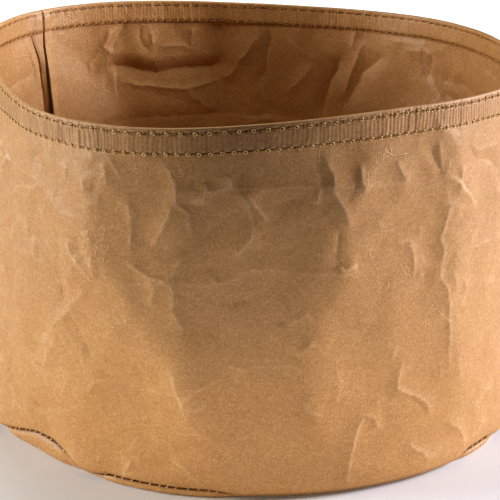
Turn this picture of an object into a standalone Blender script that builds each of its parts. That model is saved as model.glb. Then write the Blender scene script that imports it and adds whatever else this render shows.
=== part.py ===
"""Round pot bag sewn from washable kraft paper: a hemmed wall strip, a round base panel and their threads.

Metres, +Z up. The origin is the centre of the base's underside, on the floor the bag stands on.
Angles run anticlockwise from +X, seen from above. The front of the bag faces -Y.
"""

import math

import bmesh
import bpy
from mathutils import Matrix, Vector

# Driving dimensions
WALL_RADIUS = 0.100         # axis to the outer face of the wall
WALL_HEIGHT = 0.1245        # floor to the rim, averaged around the mouth
PAPER = 0.0006              # thickness of one sheet
CLEARANCE = 0.0003          # between neighbouring solids
HEM_DEPTH = 0.0095          # rim down to the hem's raw edge
UPPER_ROW_DEPTH = 0.0018    # rim down to the upper row of stitches
ROW_GAUGE = 0.0063          # upper row down to the lower row
SEAM_ALLOWANCE = 0.006      # width of paper turned inward at a seam
BASE_ROLL = 0.00235         # height of the base's rolled edge, floor to seam
THREAD_RADIUS = 0.0002

# The soft mouth settles out of true: (waves round the rim, size of the wave, angle of its crest)
RIM_RISE = ((1, 0.0014, 113), (2, 0.0017, -45))
RIM_OVAL = ((2, 0.0042, -78), (4, 0.0024, -28))

SIDE_SEAM_ANGLE = math.radians(139)
FLAP_STAND_OFF = 0.0012     # between the wall and the pressed-open allowance
WEB_INSET = 0.0002          # how much smaller than the allowance its root at the wall is
SLIT_WIDTH = 0.0004         # where the strip's two ends meet, seen outside and inside
SLIT_DEPTH = 0.0003

RING_STEPS = 72
FOLD_STEPS = 4
THREAD_SIDES = 5

# Worked out from the above
HEM_INSIDE = WALL_RADIUS - 2 * PAPER
WALL_INSIDE = WALL_RADIUS - PAPER
TURN_RADIUS = 0.0015                       # the wall turns inward at its foot on this radius
SEAM_HEIGHT = BASE_ROLL + CLEARANCE        # underside of the wall's allowance
ROLL_RADIUS = BASE_ROLL / 2
ALLOWANCE_EDGE = WALL_RADIUS - TURN_RADIUS - SEAM_ALLOWANCE
LOWER_ROW_DEPTH = UPPER_ROW_DEPTH + ROW_GAUGE
BASE_STITCH_RADIUS = WALL_RADIUS - TURN_RADIUS - 0.0012
FLAP_OUTSIDE = PAPER + FLAP_STAND_OFF      # inward from the wall's face to the side seam's allowance

PAPER_COLOUR = (0.50, 0.285, 0.140, 1.0)
THREAD_COLOUR = (0.34, 0.185, 0.060, 1.0)


def clear_scene():
    for scene_object in list(bpy.data.objects):
        bpy.data.objects.remove(scene_object, do_unlink=True)


def new_collection(name):
    collection = bpy.data.collections.new(name)
    bpy.context.scene.collection.children.link(collection)
    return collection


def new_material(name, colour, roughness):
    material = bpy.data.materials.new(name)
    material.use_nodes = True
    shader = material.node_tree.nodes["Principled BSDF"]
    shader.inputs["Base Color"].default_value = colour
    shader.inputs["Roughness"].default_value = roughness
    shader.inputs["Metallic"].default_value = 0.0
    material.diffuse_color = colour
    return material


def arc(centre, radius, start, end, steps):
    """Points (r, z) along an arc of a turned profile, angles in degrees, both ends included."""
    points = []
    for step in range(steps + 1):
        angle = math.radians(start + (end - start) * step / steps)
        points.append((centre[0] + radius * math.cos(angle), centre[1] + radius * math.sin(angle)))
    return points


def rim_wave(waves, angle):
    """Sum of waves round the rim at an angle, in metres."""
    return sum(size * math.cos(count * (angle - math.radians(crest))) for count, size, crest in waves)


def settle(mesh):
    """Lets a true round mesh settle: its mouth goes slightly oval and its rim rises and dips, its foot stays."""
    for vertex in mesh.vertices:
        angle = math.atan2(vertex.co.y, vertex.co.x)
        share = vertex.co.z / WALL_HEIGHT
        outward = rim_wave(RIM_OVAL, angle) * share
        vertex.co.x += outward * math.cos(angle)
        vertex.co.y += outward * math.sin(angle)
        vertex.co.z += rim_wave(RIM_RISE, angle) * share


def turned(name, profile, closed, collection):
    """A mesh object turned about Z from a profile of (r, z) points, with its Screw modifier applied."""
    mesh = bpy.data.meshes.new(name + "_profile")
    edges = [(index, index + 1) for index in range(len(profile) - 1)]
    if closed:
        edges.append((len(profile) - 1, 0))
    mesh.from_pydata([(r, 0.0, z) for r, z in profile], edges, [])
    guide = bpy.data.objects.new(name + "_guide", mesh)
    collection.objects.link(guide)
    screw = guide.modifiers.new("turn", "SCREW")
    screw.axis = "Z"
    screw.angle = math.tau
    screw.steps = RING_STEPS
    screw.render_steps = RING_STEPS
    screw.use_merge_vertices = True
    screw.merge_threshold = 0.00001
    return applied(name, guide, collection)


def applied(name, guide, collection):
    """A new mesh object of what guide evaluates to. The guide is removed."""
    graph = bpy.context.evaluated_depsgraph_get()
    mesh = bpy.data.meshes.new_from_object(guide.evaluated_get(graph))
    mesh.name = name
    result = bpy.data.objects.new(name, mesh)
    result.matrix_world = guide.matrix_world
    collection.objects.link(result)
    bpy.data.objects.remove(guide, do_unlink=True)
    return result


def finish_piece(piece, material):
    """Gives a piece its material, and shades it smooth except at its sharp edges."""
    piece.data.materials.clear()
    piece.data.materials.append(material)
    piece.data.shade_smooth()
    piece.data.set_sharp_from_angle(angle=math.radians(35))


def combine(piece, other, operation):
    """Adds an EXACT Boolean that stays on the piece. The other object is only a guide."""
    boolean = piece.modifiers.new(other.name, "BOOLEAN")
    boolean.operation = operation
    boolean.object = other
    boolean.solver = "EXACT"
    other.display_type = "WIRE"
    other.hide_render = True


def block(name, size, centre, collection):
    """A block at the side seam. X runs along the wall from the seam, and Y inward from the wall's face."""
    mesh = bpy.data.meshes.new(name)
    shape = bmesh.new()
    bmesh.ops.create_cube(shape, size=1.0)
    bmesh.ops.scale(shape, vec=Vector(size), verts=shape.verts)
    bmesh.ops.translate(shape, vec=Vector(centre), verts=shape.verts)
    shape.to_mesh(mesh)
    shape.free()
    piece = bpy.data.objects.new(name, mesh)
    collection.objects.link(piece)
    return piece


def place_at_side_seam(piece):
    """Moves a piece from the seam's own axes into the bag: X along the wall, anticlockwise, and Y inward."""
    radial = Vector((math.cos(SIDE_SEAM_ANGLE), math.sin(SIDE_SEAM_ANGLE), 0))
    anticlockwise = Vector((-radial.y, radial.x, 0))
    turn = Matrix((anticlockwise, -radial, Vector((0, 0, 1)))).transposed().to_4x4()
    piece.data.transform(Matrix.Translation(radial * WALL_RADIUS) @ turn)
    settle(piece.data)


def wall_profile():
    """Closed section of the wall: hem fold, outer face, inward turn and allowance, inner face, raw edge."""
    rim_centre = (WALL_RADIUS - PAPER, WALL_HEIGHT - PAPER)
    turn_centre = (WALL_RADIUS - TURN_RADIUS, SEAM_HEIGHT + TURN_RADIUS)
    hem_edge = WALL_HEIGHT - HEM_DEPTH
    points = arc(rim_centre, PAPER, 90, 0, FOLD_STEPS)
    points += arc(turn_centre, TURN_RADIUS, 0, -90, FOLD_STEPS)
    points.append((ALLOWANCE_EDGE, SEAM_HEIGHT))
    points.append((ALLOWANCE_EDGE, SEAM_HEIGHT + PAPER))
    points += arc(turn_centre, TURN_RADIUS - PAPER, -90, 0, FOLD_STEPS)
    points.append((WALL_INSIDE, hem_edge))
    points.append((HEM_INSIDE, hem_edge))
    points += arc(rim_centre, PAPER, 180, 90, FOLD_STEPS)[:-1]
    return points


def base_profile():
    """Open section of the base, axis to axis: inner floor, rolled edge, allowance, and the underside."""
    roll_centre = (WALL_RADIUS - ROLL_RADIUS, ROLL_RADIUS)
    points = [(0.0, PAPER)]
    points += arc(roll_centre, ROLL_RADIUS - PAPER, -90, 90, FOLD_STEPS)
    points.append((ALLOWANCE_EDGE, BASE_ROLL - PAPER))
    points.append((ALLOWANCE_EDGE, BASE_ROLL))
    points += arc(roll_centre, ROLL_RADIUS, 90, -90, 2 * FOLD_STEPS)
    points.append((0.0, 0.0))
    return points


def side_seam_flap(guides):
    """The strip's two ends: turned inward together at the seam, then pressed open, one to each side."""
    foot = SEAM_HEIGHT + 0.0025
    top = WALL_HEIGHT - HEM_DEPTH - 0.0006
    length = top - foot
    middle = (top + foot) / 2
    web_size = (2 * PAPER - WEB_INSET, FLAP_OUTSIDE, length - WEB_INSET)
    web = block("seam_web", web_size, (0, (PAPER + FLAP_OUTSIDE) / 2, middle), guides)
    plate_size = (2 * SEAM_ALLOWANCE, PAPER, length)
    plate = block("seam_plate", plate_size, (0, FLAP_OUTSIDE + PAPER / 2, middle), guides)
    for piece in (web, plate):
        place_at_side_seam(piece)
    return web, plate


def seam_slit(name, inward, guides):
    """A fine groove where the strip's two ends meet, at a distance inward from the wall's outer face."""
    height = WALL_HEIGHT * 1.2
    slit = block(name, (SLIT_WIDTH, 2 * SLIT_DEPTH, height), (0, inward, height / 2), guides)
    place_at_side_seam(slit)
    return slit


def wall_panel(parts, guides, paper):
    wall = turned("wall_panel", wall_profile(), True, parts)
    settle(wall.data)
    for piece in side_seam_flap(guides):
        combine(wall, piece, "UNION")
    combine(wall, seam_slit("outer_slit", 0, guides), "DIFFERENCE")
    combine(wall, seam_slit("inner_slit", FLAP_OUTSIDE + PAPER, guides), "DIFFERENCE")
    finish_piece(wall, paper)
    return wall


def base_panel(parts, paper):
    base = turned("base_panel", base_profile(), False, parts)
    finish_piece(base, paper)
    return base


def thread_ring(name, radius, height, parts, thread):
    """A thread all the way round the bag, at a radius and a height before it settles."""
    section = arc((radius, height), THREAD_RADIUS, 90, 90 - 360, THREAD_SIDES)[:-1]
    ring = turned(name, section, True, parts)
    settle(ring.data)
    finish_piece(ring, thread)
    return ring


def side_seam_thread(name, side, parts, thread):
    """A thread down one side (1 or -1) of the side seam's root, between the wall and the allowance."""
    foot = SEAM_HEIGHT + 0.004
    top = WALL_HEIGHT - HEM_DEPTH - 0.002
    along = side * (PAPER + CLEARANCE + THREAD_RADIUS)
    inward = PAPER + FLAP_STAND_OFF / 2
    mesh = bpy.data.meshes.new(name)
    shape = bmesh.new()
    bmesh.ops.create_cone(
        shape, cap_ends=True, segments=THREAD_SIDES, radius1=THREAD_RADIUS, radius2=THREAD_RADIUS, depth=top - foot
    )
    bmesh.ops.translate(shape, vec=Vector((along, inward, (top + foot) / 2)), verts=shape.verts)
    shape.to_mesh(mesh)
    shape.free()
    line = bpy.data.objects.new(name, mesh)
    parts.objects.link(line)
    place_at_side_seam(line)
    finish_piece(line, thread)
    return line


def threads(parts, thread):
    outside = WALL_RADIUS + CLEARANCE + THREAD_RADIUS
    inside = HEM_INSIDE - CLEARANCE - THREAD_RADIUS
    for row, depth in (("upper", UPPER_ROW_DEPTH), ("lower", LOWER_ROW_DEPTH)):
        thread_ring(f"rim_{row}_needle_thread", outside, WALL_HEIGHT - depth, parts, thread)
        thread_ring(f"rim_{row}_bobbin_thread", inside, WALL_HEIGHT - depth, parts, thread)
    above = SEAM_HEIGHT + PAPER + CLEARANCE + THREAD_RADIUS
    below = BASE_ROLL - PAPER - CLEARANCE - THREAD_RADIUS
    thread_ring("base_seam_needle_thread", BASE_STITCH_RADIUS, above, parts, thread)
    thread_ring("base_seam_bobbin_thread", BASE_STITCH_RADIUS, below, parts, thread)
    side_seam_thread("side_seam_needle_thread", -1, parts, thread)
    side_seam_thread("side_seam_bobbin_thread", 1, parts, thread)


def main():
    clear_scene()
    parts = new_collection("paper_pot_bag")
    guides = new_collection("guides")
    paper = new_material("kraft_paper", PAPER_COLOUR, 0.62)
    thread = new_material("sewing_thread", THREAD_COLOUR, 0.55)
    wall_panel(parts, guides, paper)
    base_panel(parts, paper)
    threads(parts, thread)


main()
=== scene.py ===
"""Looks of a round pot bag sewn from washable kraft paper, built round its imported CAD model.

Shape functions work in millimetres, and the finished meshes are in metres. Angles run anticlockwise from
+X, seen from above, and the front faces -Y. A height on the wall is measured along it, before the soft mouth
rises and dips.
"""

import math

import bmesh
import bpy
import numpy as np
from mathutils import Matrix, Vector


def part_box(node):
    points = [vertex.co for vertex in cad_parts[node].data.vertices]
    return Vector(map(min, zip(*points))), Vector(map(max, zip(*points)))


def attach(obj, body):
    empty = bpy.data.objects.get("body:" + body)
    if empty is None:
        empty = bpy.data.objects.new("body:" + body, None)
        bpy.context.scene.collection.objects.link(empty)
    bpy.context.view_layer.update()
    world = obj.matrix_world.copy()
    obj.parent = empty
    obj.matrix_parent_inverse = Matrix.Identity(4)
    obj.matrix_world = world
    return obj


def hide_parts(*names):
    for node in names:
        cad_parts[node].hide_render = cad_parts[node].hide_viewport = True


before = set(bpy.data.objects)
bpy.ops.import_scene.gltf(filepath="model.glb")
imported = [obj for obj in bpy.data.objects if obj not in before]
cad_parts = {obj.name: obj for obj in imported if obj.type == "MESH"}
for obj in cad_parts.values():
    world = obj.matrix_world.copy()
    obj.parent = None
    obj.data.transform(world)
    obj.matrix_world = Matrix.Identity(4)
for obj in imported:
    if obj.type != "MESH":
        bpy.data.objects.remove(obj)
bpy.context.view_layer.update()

MM = 0.001
scene = bpy.context.scene
rng = np.random.default_rng(20)

# Sewing and sheet
PAPER = 0.6              # one sheet
UPPER_ROW = 1.8          # rim down to the upper row of stitches
LOWER_ROW = 8.1          # rim down to the lower row
HEM_DEPTH = 9.0          # rim down to the hem's raw edge
HEM_STEP = 0.12          # how far the pressed raw edge stands off the wall
JOIN_DEPTH = 7.7         # the wall's own mesh ends here, inside the hem
THREAD_STAND_OFF = 0.5   # CAD thread's centre from the paper's face
THREAD = 0.21            # thread's radius
UPPER_PITCH = 4.0        # length of a stitch in each row
LOWER_PITCH = 3.15
RIB_PITCH = 1.35         # fine pleats that the stitching squeezes into the hem
RIM_ROWS = (             # (name, rim down to the row, pitch, phase)
    ("upper", UPPER_ROW, UPPER_PITCH, 0.0),
    ("lower", LOWER_ROW, LOWER_PITCH, 0.3),
)
ALLOWANCE = 6.0          # what a seam turns under
SEAM_ANGLE = 139.9       # at the rim; it drifts a little further round below
SEAM_DRIFT = 0.6
TUCKED_DEPTH = 7.6       # rim down to where the side seam's allowance is tucked under the hem
PRESSED_FROM = 7.6       # rim down to where the hem starts to press flat
PRESSED_OVER = 1.4       # and over how much of it
TOP_LEAN = 0.08          # the wall's own top row leans in, to stay under the hem
SEAM_LOW = 0.9           # height of the base seam where the wall hangs over it
FOOT_TURN = 2.1          # the wall turns inward at its foot on this radius
FOOT_TIGHTER = 0.6       # less that much where the base's edge shows

# Read from the frame
base_low, base_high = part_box("base_panel")
RADIUS = (base_high.x - base_low.x) / 2 / MM
BASE_ROLL = base_high.z / MM


def mouth_from_frame():
    """Wall height, and waves of the rim's radius and height, read from the CAD thread just below the rim."""
    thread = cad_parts["rim_upper_needle_thread"]
    points = np.array([vertex.co[:] for vertex in thread.data.vertices]) / MM
    angle = np.arctan2(points[:, 1], points[:, 0])
    height = points[:, 2].mean() + UPPER_ROW
    share = 1 - UPPER_ROW / height
    outward = (np.hypot(points[:, 0], points[:, 1]) - THREAD_STAND_OFF - RADIUS) / share
    upward = (points[:, 2] + UPPER_ROW - height) / share
    waves = np.linalg.lstsq(wave_terms(angle), np.stack([outward, upward], axis=-1), rcond=None)[0]
    return height, waves[:, 0], waves[:, 1]


def wave_terms(angle):
    """Cosines and sines of one to four waves round the rim."""
    return np.stack([f(count * angle) for count in range(1, 5) for f in (np.cos, np.sin)], axis=-1)


WALL_HEIGHT, MOUTH_OUT, MOUTH_UP = mouth_from_frame()

# Waves the CAD leaves out: (waves round the rim, size, angle of the crest)
EXTRA_OUT = ((3, 2.9, 21),)
EXTRA_UP = ((3, 0.9, 35), (4, 0.45, 20))

# The paper's relief is worked out once on a grid round the wall, and every piece reads it from there
COLUMNS = 1800
ROW_STEP = 0.5
GRID_ROWS = 262


def angles_round(count):
    """So many angles right round, from -pi."""
    return np.arange(count) * math.tau / count - math.pi


angle_axis = angles_round(COLUMNS)
height_axis = np.arange(GRID_ROWS) * ROW_STEP
relief = np.zeros((COLUMNS, GRID_ROWS))    # how far the paper stands out, in mm
wear = np.zeros((COLUMNS, GRID_ROWS))      # how pale a crease has worn, 0 to 1

# Meshes
WALL_COLUMNS = 1500
WALL_ROWS = 250
WALL_TRIANGLES = 190000  # once flat stretches are thinned out
HEM_COLUMNS = 2150
BASE_COLUMNS = 720
FLAP_ROWS = 190
THREAD_SIDES = 6

# Outline of the wall's foot: (angle, how far outside the round base)
FOOT_OUTLINE = (
    (-168, 0.3), (-151, -1.4), (-139, -3.3), (-127, -1.4), (-118, -0.4), (-106, 0.6), (-90, -0.3),
    (-72, 1.1), (-56, 2.4), (-38, 2.0), (-15, 0.6), (10, 1.2), (40, -0.6), (75, 0.8), (110, -0.4),
    (140, -1.0), (165, 0.9),
)
# Where the base's rolled edge shows below the wall: (angle, 1 if it shows)
SEAM_SHOWS = (
    (-152, 0), (-148, 1), (-131, 1), (-126, 0), (-122, 0), (-119, 1), (-98, 1), (-93, 0), (-48, 0),
    (-45, 1), (-38, 1), (-34, 0), (-10, 0), (0, 1), (30, 1), (42, 0), (70, 0), (84, 1), (125, 1),
    (140, 0.3), (160, 1), (185, 1), (195, 0),
)
# How far the seam rides up where the base's edge is pushed up: (angle, rise)
SEAM_LIFT = (
    (-152, 0), (-147, 0.8), (-140, 4.2), (-134, 4.2), (-129, 2.6), (-124, 0), (100, 0), (120, 1.4), (135, 0),
)

# Creases: (rise, width right of its direction, width left of it, wear, points as (angle, height))
BROAD_FOLDS = (
    (2.6, 17, 18, 0, (
        (-121, 128), (-120, 112), (-119, 96), (-117, 80), (-110, 64), (-104, 48), (-100, 33), (-91, 6))),
    (1.8, 16, 15, 0, (
        (-72, 128), (-72, 102), (-75, 83), (-77, 69), (-79, 55), (-82, 43), (-80, 28), (-74, 4))),
    (1.4, 22, 28, 0, ((-109, 60), (-103, 40), (-97, 22), (-89, 0))),
    (0.6, 8, 7, 0, ((-103, 118), (-103, 100), (-104, 84), (-105, 70), (-102, 52), (-99, 30))),
    (1.5, 13, 12, 0, ((-52, 128), (-50, 95), (-51, 54), (-45, 14))),
    (0.5, 8, 8, 0, ((-94, 108), (-92, 100), (-92, 90), (-95, 78))),
    (2.2, 17, 16, 0, ((127, 128), (126, 110), (126, 96), (120, 86), (117, 70), (115, 20))),
    (1.3, 9, 12, 0, ((58, 128), (60, 113), (63, 97), (67, 80), (70, 40))),
    (2.4, 11, 17, 0, ((97, 128), (97, 104), (94, 84), (97, 30))),
    (1.4, 14, 12, 0, ((28, 128), (30, 95), (24, 40), (28, 0))),
    (1.3, 14, 13, 0, ((-15, 128), (-12, 90), (-18, 50), (-12, 0))),
    (1.6, 15, 16, 0, ((166, 128), (170, 90), (163, 48), (168, 0))),
    (1.6, 16, 14, 0, ((205, 128), (209, 84), (203, 44), (206, 0))),
)
LONG_FOLDS = (
    (0.22, 5, 4, 0.5, ((-114, 104), (-102, 105), (-91, 105), (-75, 103), (-55, 99))),
    (0.2, 4, 5, 0.5, ((-119, 72), (-106, 75), (-95, 75), (-91, 79), (-78, 76), (-67, 75))),
    (0.15, 4, 4, 0.3, ((-112, 37), (-100, 38))),
    (0.12, 4, 4, 0.3, ((-91, 47), (-83, 47))),
)
FINE = (2.1, 2.1, 0.3)      # widths and wear of the finer ones
FRONT_CREASES = (
    (0.16, *FINE, ((-111, 104), (-111, 88), (-112, 83))),
    (0.2, *FINE, (
        (-105, 116), (-104, 111), (-103, 107), (-103, 101), (-101, 98), (-101, 93), (-100, 89))),
    (0.3, 2.1, 3.5, 0.4, ((-103, 101), (-105, 95), (-106, 91), (-107, 86))),
    (0.25, 2.8, 2.1, 0.2, ((-116, 113), (-115, 110), (-117, 105))),
    (0.2, 2.1, 2.1, 0.2, ((-115, 110), (-115, 105))),
    (0.25, 1.4, 2.1, 0.5, ((-120, 103), (-119, 105))),
    (0.35, 2.8, 2.1, 0.6, ((-123, 86), (-124, 83), (-123, 80), (-121, 77), (-119, 72))),
    (-0.15, 1.4, 2.1, 0, ((-122, 88), (-121, 82), (-119, 77))),
    (0.25, *FINE, ((-119, 82), (-118, 74))),
    (0.35, 2.1, 2.8, 0.6, ((-113, 83), (-108, 77), (-105, 76), (-104, 78), (-103, 82), (-101, 86))),
    (0.22, *FINE, ((-108, 77), (-107, 73), (-108, 67))),
    (0.25, *FINE, ((-104, 78), (-104, 67), (-103, 62), (-102, 58))),
    (0.4, 2.8, 2.8, 0.6, ((-94, 105), (-92, 102), (-91, 97), (-91, 89), (-94, 82))),
    (0.3, 1.4, 2.1, 0.6, ((-94, 105), (-95, 110))),
    (0.3, 1.4, 2.1, 0.5, ((-92, 105), (-90, 99), (-88, 94))),
    (0.25, *FINE, ((-98, 108), (-99, 100))),
    (-0.12, 2.8, 2.1, 0, ((-92, 101), (-97, 93), (-99, 88))),
    (0.35, 2.8, 2.8, 0.6, ((-105, 48), (-104, 42), (-103, 36), (-102, 29), (-103, 26))),
    (0.25, *FINE, ((-103, 35), (-100, 40), (-96, 44))),
    (-0.23, 3.5, 2.8, 0, ((-103, 26), (-97, 20), (-93, 10), (-91, 4))),
    (-0.17, 2.8, 2.8, 0, ((-96, 30), (-93, 22), (-90, 13), (-88, 7))),
    (0.25, *FINE, ((-95, 49), (-91, 45))),
    (0.45, 2.8, 3.5, 0.6, ((-79, 116), (-78, 110), (-77, 107), (-77, 102), (-75, 96), (-74, 91), (-73, 88))),
    (-0.17, 2.1, 2.8, 0, ((-80, 114), (-79, 107), (-79, 101), (-77, 95))),
    (-0.23, 2.1, 2.1, 0, ((-76, 91), (-76, 84), (-76, 79), (-74, 76))),
    (0.3, 2.1, 2.1, 0.6, ((-76, 79), (-75, 76), (-72, 77))),
    (0.28, 1.8, 2.8, 0.4, ((-72, 110), (-72, 104), (-71, 99))),
    (-0.12, 2.8, 1.4, 0, ((-74, 108), (-73, 103), (-75, 97))),
    (0.28, *FINE, ((-65, 109), (-64, 106), (-62, 101))),
    (0.22, *FINE, ((-79, 104), (-80, 98))),
    (0.25, *FINE, ((-61, 83), (-60, 76), (-60, 69))),
    (0.22, 2.1, 2.8, 0.4, ((-56, 114), (-55, 108), (-54, 102))),
    (-0.23, 2.1, 2.1, 0, ((-57, 112), (-56, 106), (-54, 102))),
    (0.25, 2.8, 2.8, 0.6, ((-54, 102), (-51, 99), (-49, 96), (-46, 91), (-44, 86))),
    (-0.2, 2.8, 2.1, 0, ((-52, 103), (-49, 98), (-47, 93))),
    (0.25, *FINE, ((-49, 104), (-50, 93))),
    (0.25, 2.8, 2.8, 0.5, (
        (-54, 102), (-53, 96), (-52, 91), (-53, 85), (-54, 81), (-53, 76), (-54, 68), (-52, 63), (-51, 45),
        (-51, 29))),
    (0.35, 2.1, 2.8, 0.5, ((-62, 44), (-63, 33), (-61, 31), (-58, 28), (-56, 25), (-55, 18))),
    (-0.15, 2.1, 2.8, 0, ((-61, 29), (-58, 26), (-57, 22))),
    (0.35, *FINE, ((-52, 17), (-49, 14), (-47, 10), (-46, 2))),
    (0.3, 2.8, 2.1, 0.6, ((-71, 29), (-70, 26), (-71, 23), (-72, 18), (-73, 9), (-73, 2))),
    (0.28, 2.1, 2.1, 0.4, ((-70, 27), (-68, 25), (-67, 20))),
    (0.35, 2.8, 2.1, 0.3, ((-61, 15), (-60, 12), (-57, 8), (-56, 3))),
    (-0.25, 2.8, 2.1, 0, ((-84, 50), (-83, 44), (-82, 34), (-81, 28))),
    (0.3, *FINE, ((-83, 50), (-80, 55))),
    (0.28, *FINE, ((-82, 35), (-81, 31), (-78, 29))),
    (0.5, 2.1, 2.1, 0.5, ((-115, 2), (-115, 6), (-113, 11))),
    (0.3, *FINE, ((-106, 14), (-102, 10), (-100, 4))),
)
INSIDE_CREASES = (
    (2.5, 5.0, 15, 0, ((125, 98), (118, 98), (112, 95.5), (105, 96.5), (98, 97), (91, 99))),
    (-0.5, 2, 2, 0.6, ((121, 93), (116, 90), (110, 89), (105, 88), (98, 90), (94, 92))),
    (-0.4, 2, 2, 0.5, ((119, 117), (122, 112), (124, 106), (127, 100), (127, 93))),
    (-0.3, 2, 2, 0.4, ((122, 115), (123, 109), (124, 107), (121, 103))),
    (0.3, 2, 2, 0, ((118, 116), (120, 110), (122, 104))),
    (0.3, 2, 3, 0, ((115, 115), (115, 110), (114, 106), (112, 103))),
    (-0.3, 2, 2, 0.4, ((112, 113), (112, 106))),
    (-0.35, 4, 4, 0.4, ((102, 114), (102, 105))),
    (-0.4, 3, 3, 0.5, ((111, 106), (106, 106), (100, 104))),
    (-0.8, 4, 6, 0.8, ((86, 113), (88, 107), (91, 100), (93, 94), (97, 90))),
    (0.5, 4, 4, 0, ((84, 116), (83, 109), (84, 104), (84, 97), (86, 91), (88, 88))),
    (-0.5, 4, 4, 0.6, ((73, 100), (76, 93), (80, 86))),
    (1.3, 5, 6, 0, ((66, 106), (67, 98), (69, 91), (70, 85), (71, 76))),
    (-0.9, 5, 5, 0.4, ((60, 113), (62, 104), (64, 95), (66, 84))),
    (0.9, 5, 5, 0, ((55, 110), (55, 106), (60, 99), (63, 90), (65, 81))),
    (-0.5, 4, 4, 0.4, ((62, 117), (64, 107))),
    (0.35, 5, 5, 0.3, ((128, 75), (110, 76), (92, 77), (70, 76))),
    (-0.4, 4, 4, 0.4, ((104, 90), (102, 84), (96, 78))),
    (-0.4, 4, 4, 0.4, ((79, 112), (76, 106), (70, 101))),
    (0.6, 5, 4, 0, ((44, 108), (40, 98), (36, 90))),
    (-0.4, 1.5, 1.5, 0.2, ((146, 117), (144.5, 110), (143.2, 104), (142.8, 96))),
)
# The same packing folds run on round the sides and the back
BACK_FOLDS = (
    (0.3, 4, 5, 0.5, ((-50, 100), (-20, 101), (15, 99), (50, 101))),
    (0.3, 4, 5, 0.5, ((130, 101), (160, 100), (200, 103), (236, 102))),
    (0.28, 5, 4, 0.5, ((-62, 75), (-25, 74), (20, 76), (66, 75))),
    (0.3, 5, 4, 0.5, ((130, 74), (165, 76), (205, 73), (238, 74))),
    (0.24, 4, 4, 0.4, ((-45, 47), (0, 45), (50, 47), (95, 46))),
    (0.24, 4, 4, 0.4, ((110, 38), (150, 36), (200, 37), (232, 38))),
)
FRONT_RISE = 1.35        # how much stronger the front creases are laid than listed
FRONT_SPREAD = 1.9       # and how much wider
FRONT_WEAR = 1.9         # and how much paler
EDGE_WIDTH = 0.42        # a crease's fine sharp line
WORN_WIDTH = 0.33        # the pale line worn along it
END_SHARE = 0.22         # a crease fades out over this share of its length at each end
CREASED_ARCS = ((-40, 50), (130, 235))     # the arcs that get scattered creases along their whole height
MOST_BELOW = 0.7         # how far scattered creases go in, however many of them cross
MOST_ABOVE = 0.8         # and how far out


def ease(share):
    """0 to 1 with a soft start and end."""
    return share * share * (3 - 2 * share)


def bell(distance, width, power=2):
    """1 at 0, and down to 1/e at a width away from it."""
    return np.exp(-((distance / width) ** power))


def wrapped(angle):
    """The same angle, from -pi to pi."""
    return np.angle(np.exp(1j * angle))


def smooth_round(points, blur):
    """Values at every grid column from (angle, value) points round the wall, blurred by so many degrees."""
    degrees = np.degrees(angle_axis)
    values = np.interp(degrees, *zip(*points), period=360)
    kernel = np.exp(-0.5 * (degrees / blur) ** 2)
    spectrum = np.fft.fft(values) * np.fft.fft(np.fft.ifftshift(kernel / kernel.sum()))
    return np.fft.ifft(spectrum).real


def blurred(field, along, up):
    """A field on the grid's columns, blurred by so many mm round the wall and up it. It wraps round."""
    turns = np.fft.fftfreq(COLUMNS, d=math.tau * RADIUS / COLUMNS)[:, None]
    lifts = np.fft.fftfreq(field.shape[1], d=ROW_STEP)[None, :]
    keep = np.exp(-2 * (math.pi * along * turns) ** 2 - 2 * (math.pi * up * lifts) ** 2)
    return np.fft.ifft2(np.fft.fft2(field) * keep).real


def smooth_noise(along, up):
    """Noise of unit size on the grid, without a seam, with features of these sizes in mm."""
    field = blurred(rng.standard_normal((COLUMNS, GRID_ROWS)), along / 2.5, up / 2.5)
    return field / field.std()


def soften(blur):
    """Rounds the relief laid so far, by so many mm."""
    mirrored = np.concatenate([relief, relief[:, ::-1]], axis=1)
    relief[:] = blurred(mirrored, blur, blur)[:, :GRID_ROWS]


def ragged(points, step, size):
    """A crease's line through its points, in mm along the wall and up it, broken into short uneven runs."""
    first = points[0][0]
    line = [np.array((math.radians(angle - first) * RADIUS, height)) for angle, height in points]
    path = [line[0]]
    for start, end in zip(line, line[1:]):
        length = np.linalg.norm(end - start)
        runs = max(1, round(length / step))
        across = np.array((start[1] - end[1], end[0] - start[0])) / max(length, 1e-6)
        for run in range(1, runs + 1):
            wander = 0 if run == runs else rng.normal(0, size)
            path.append(start + (end - start) * run / runs + across * wander)
    return math.radians(first), np.array(path)


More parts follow.
